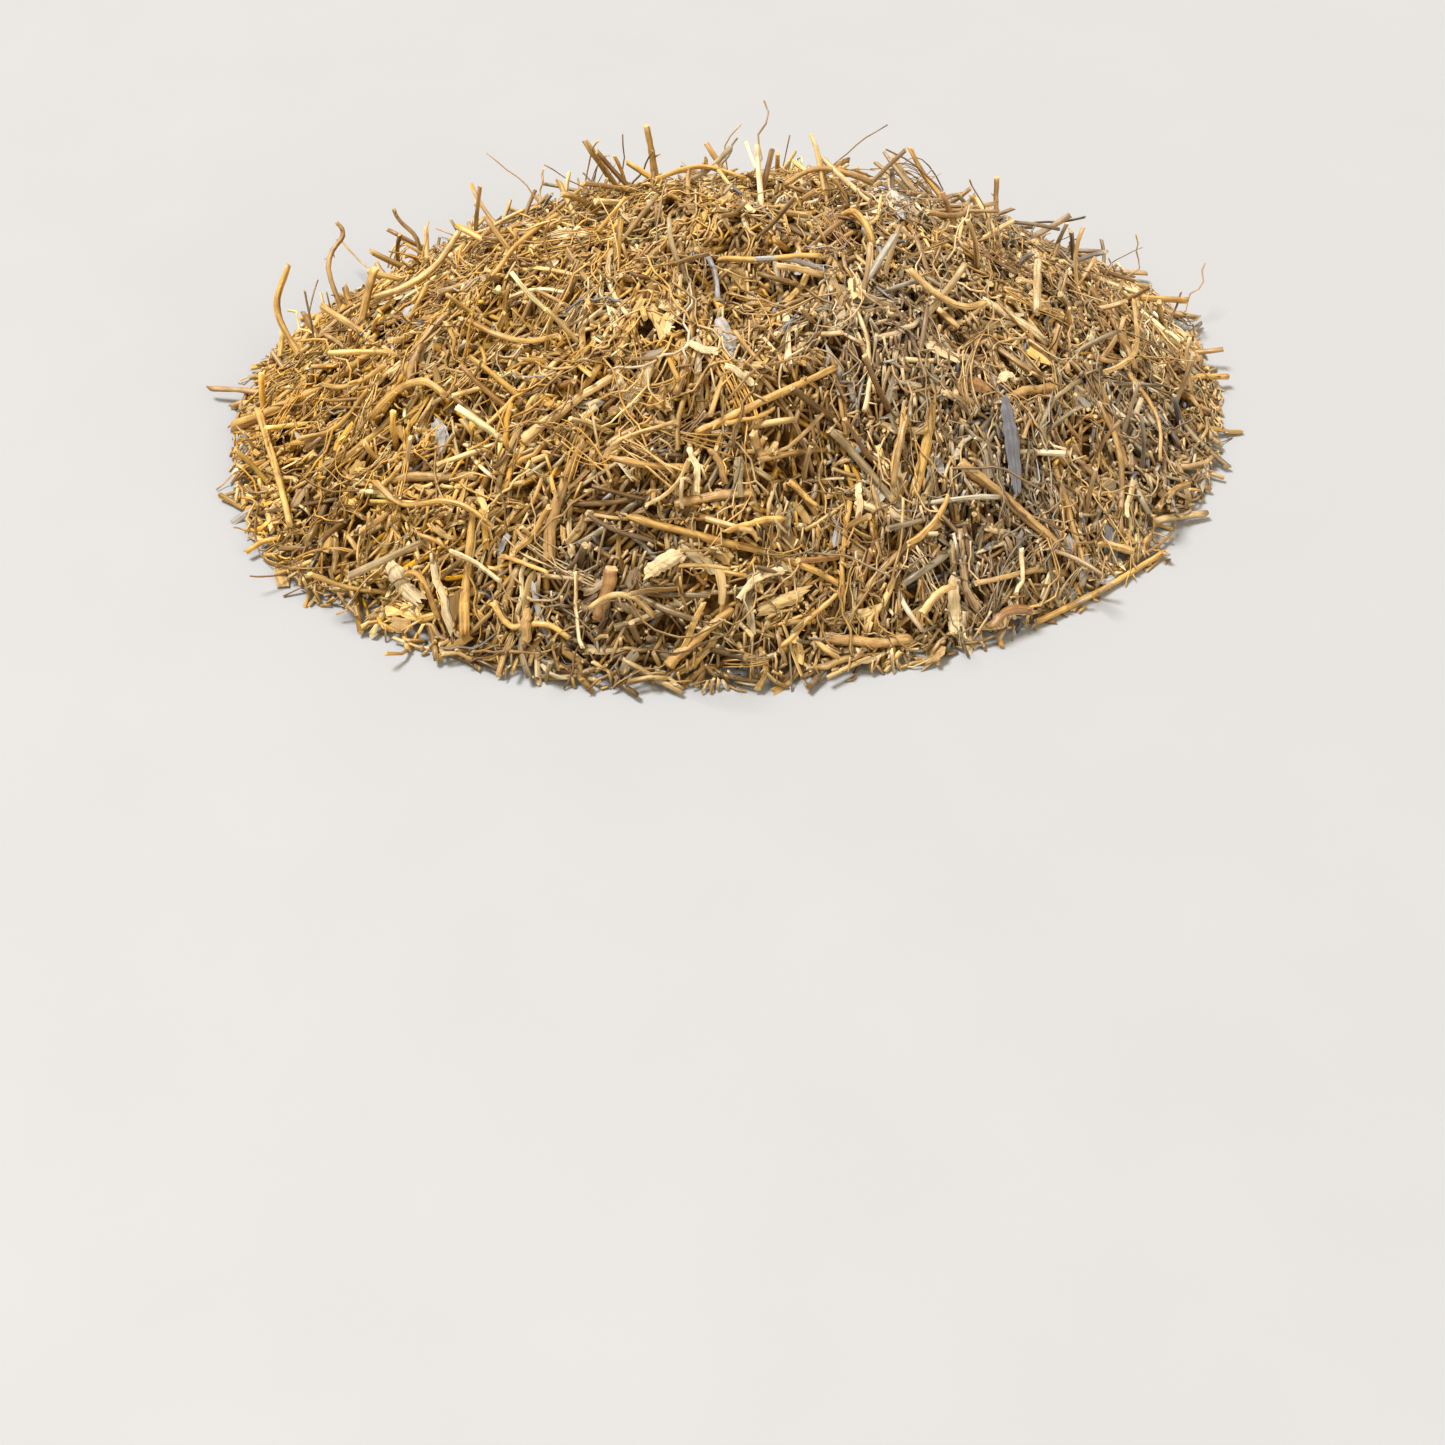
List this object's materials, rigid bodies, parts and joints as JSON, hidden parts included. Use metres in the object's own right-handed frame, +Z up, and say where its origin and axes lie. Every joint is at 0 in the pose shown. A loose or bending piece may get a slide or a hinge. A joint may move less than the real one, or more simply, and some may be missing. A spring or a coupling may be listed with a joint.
{
  "type": "vetiver root",
  "caption": "Loose mound of dried, finely cut vetiver root: straw-coloured root pieces, wiry rootlets, split slivers and bark flakes.",
  "frame": {"origin": "middle of the mound's flat underside, on the surface that it lies on", "axes": "+Z up, +X along the mound's long side, -Y towards its front"},
  "size_m": [0.1684, 0.1137, 0.0453],
  "materials": {
    "golden_root": "satin dried root bark, golden straw",
    "grey_bark": "papery bark and leaf scraps, grey",
    "pale_split_wood": "matt split root core, pale cream",
    "red_brown_bark": "matt bark, reddish brown",
    "tan_cut_root": "matt dried root bark, tan to brown"
  },
  "bodies": {
    "root": {"bark_chip_01": "red_brown_bark", "bark_flake_01": "grey_bark", "bark_flake_02": "grey_bark", "bark_flake_03": "grey_bark", "bark_flake_04": "grey_bark", "bark_flake_05": "grey_bark", "cut_root_heap": "tan_cut_root", "forked_root_01": "golden_root", "forked_root_02": "golden_root", "long_root_01": "golden_root", "long_root_02": "golden_root", "long_root_03": "golden_root", "long_root_04": "golden_root", "long_root_05": "golden_root", "long_root_06": "golden_root", "long_root_07": "golden_root", "long_root_08": "golden_root", "long_root_09": "golden_root", "long_root_10": "golden_root", "long_root_11": "golden_root", "long_root_12": "golden_root", "long_root_13": "golden_root", "long_root_14": "golden_root", "long_root_15": "golden_root", "long_root_16": "golden_root", "long_root_17": "golden_root", "long_root_18": "golden_root", "long_root_19": "golden_root", "long_root_20": "golden_root", "long_root_21": "golden_root", "long_root_22": "golden_root", "long_root_23": "golden_root", "long_root_24": "golden_root", "long_root_25": "golden_root", "long_root_26": "golden_root", "long_root_27": "golden_root", "long_root_28": "golden_root", "root_base_01": "red_brown_bark", "split_sliver_01": "pale_split_wood", "split_sliver_02": "pale_split_wood", "split_sliver_03": "pale_split_wood", "split_sliver_04": "pale_split_wood", "split_sliver_05": "pale_split_wood", "split_sliver_06": "pale_split_wood", "split_sliver_07": "pale_split_wood", "wiry_root_01": "golden_root", "wiry_root_02": "golden_root", "wiry_root_03": "golden_root", "wiry_root_04": "golden_root", "wiry_root_05": "golden_root", "wiry_root_06": "golden_root", "wiry_root_07": "golden_root", "wiry_root_08": "golden_root"}
  },
  "joints": []
}
